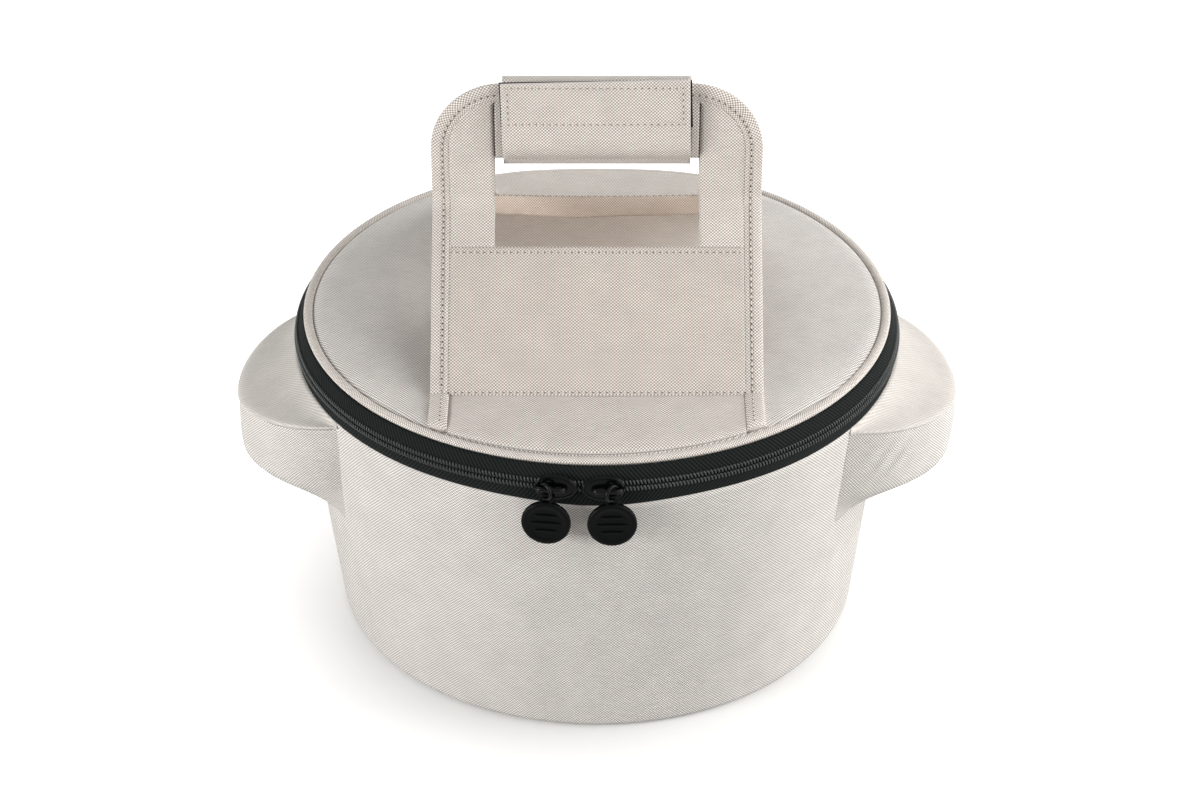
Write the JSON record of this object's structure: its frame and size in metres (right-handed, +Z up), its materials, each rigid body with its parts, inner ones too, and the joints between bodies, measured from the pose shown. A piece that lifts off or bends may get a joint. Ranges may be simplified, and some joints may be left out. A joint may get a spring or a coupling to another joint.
{
  "type": "casserole carrier",
  "caption": "Round insulated canvas carrier for a casserole dish, with a zipped padded lid, ear pockets for the dish's handles and sewn carrying handles held in a wrap grip.",
  "frame": {"origin": "centre of the underside of the base panel, on the table", "axes": "+X to the right as seen from the front and across the two ears, -Y to the front with the zip pulls, +Z up"},
  "size_m": [0.3416, 0.2955, 0.2781],
  "materials": {
    "canvas": "two-tone plain-woven canvas, matt",
    "binding": "folded canvas binding, matt",
    "foam": "closed-cell foam sheet, matt",
    "lining": "smooth coated lining, satin",
    "zip_tape": "black woven tape, matt",
    "zip_coil": "black nylon coil",
    "black_metal": "black painted zinc, semi-gloss",
    "disc_rubber": "black moulded rubber, matt",
    "fastening_tape": "black hook and loop tape, matt"
  },
  "bodies": {
    "body": {"base_panel": "canvas", "base_foam": "foam", "base_lining": "lining", "side_wall": "canvas", "wall_foam": "foam", "wall_lining": "lining", "left_ear_top": "canvas", "left_ear_gusset": "canvas", "left_ear_lining": "lining", "right_ear_top": "canvas", "right_ear_gusset": "canvas", "right_ear_lining": "lining", "body_zip_tape": "zip_tape", "body_zip_coil": "zip_coil", "mouth_binding": "binding", "hinge_panel": "canvas"},
    "lid": {"lid_top_panel": "canvas", "lid_foam": "foam", "lid_lining": "lining", "lid_rim_band": "binding", "lid_zip_tape": "zip_tape", "lid_zip_coil": "zip_coil", "lid_seam_binding": "binding", "front_handle_flap": "canvas", "rear_handle_flap": "canvas"},
    "front_handle": {"front_handle_panel": "canvas", "front_handle_straps": "canvas", "front_handle_edge": "binding", "front_grip_pad": "canvas"},
    "rear_handle": {"rear_handle_panel": "canvas", "rear_handle_straps": "canvas", "rear_handle_edge": "binding", "rear_grip_pad": "canvas", "grip_wrap": "canvas", "loop_tape": "fastening_tape"},
    "wrap_flap": {"grip_flap": "canvas", "hook_tape": "fastening_tape"},
    "left_zip_slider": {"left_slider": "black_metal"},
    "right_zip_slider": {"right_slider": "black_metal"},
    "left_ring": {"left_pull_ring": "black_metal"},
    "right_ring": {"right_pull_ring": "black_metal"},
    "left_disc": {"left_pull_disc": "disc_rubber"},
    "right_disc": {"right_pull_disc": "disc_rubber"}
  },
  "joints": [
    {"name": "lid_open", "type": "hinge", "parent": "body", "child": "lid", "pos_m": [0, 0.14, 0.1556], "axis": [-1, 0, 0], "range_deg": [0, 105]},
    {"name": "front_handle_fold", "type": "hinge", "parent": "lid", "child": "front_handle", "pos_m": [0, -0.091, 0.1602], "axis": [1, 0, 0], "range_deg": [0, 110]},
    {"name": "rear_handle_fold", "type": "hinge", "parent": "lid", "child": "rear_handle", "pos_m": [0, 0.091, 0.1602], "axis": [-1, 0, 0], "range_deg": [0, 110]},
    {"name": "wrap_flap_open", "type": "hinge", "parent": "rear_handle", "child": "wrap_flap", "pos_m": [0, -0.005, 0.2332], "axis": [1, 0, 0], "range_deg": [0, 120]},
    {"name": "left_zip_travel", "type": "hinge", "parent": "body", "child": "left_zip_slider", "pos_m": [0, 0, 0.14685], "axis": [0, 0, -1], "range_deg": [0, 138]},
    {"name": "left_ring_lift", "type": "hinge", "parent": "left_zip_slider", "child": "left_ring", "pos_m": [-0.02229, -0.14749, 0.14807], "axis": [-0.9925, 0.1221, 0], "range_deg": [0, 172]},
    {"name": "left_disc_swing", "type": "hinge", "parent": "left_ring", "child": "left_disc", "pos_m": [-0.02229, -0.14749, 0.14293], "axis": [0.1221, 0.9925, 0], "range_deg": [-6, 60]},
    {"name": "right_zip_travel", "type": "hinge", "parent": "body", "child": "right_zip_slider", "pos_m": [0, 0, 0.14685], "axis": [0, 0, 1], "range_deg": [0, 144]},
    {"name": "right_ring_lift", "type": "hinge", "parent": "right_zip_slider", "child": "right_ring", "pos_m": [0.00675, -0.14901, 0.14807], "axis": [-0.9998, -0.0176, 0], "range_deg": [0, 172]},
    {"name": "right_disc_swing", "type": "hinge", "parent": "right_ring", "child": "right_disc", "pos_m": [0.00675, -0.14901, 0.14293], "axis": [0.0176, -0.9998, 0], "range_deg": [-6, 60]}
  ],
  "couplings": [
    {"joint": "left_ring_lift", "follows": "left_zip_travel", "ratio": 1.16},
    {"joint": "right_ring_lift", "follows": "right_zip_travel", "ratio": 1.16}
  ]
}
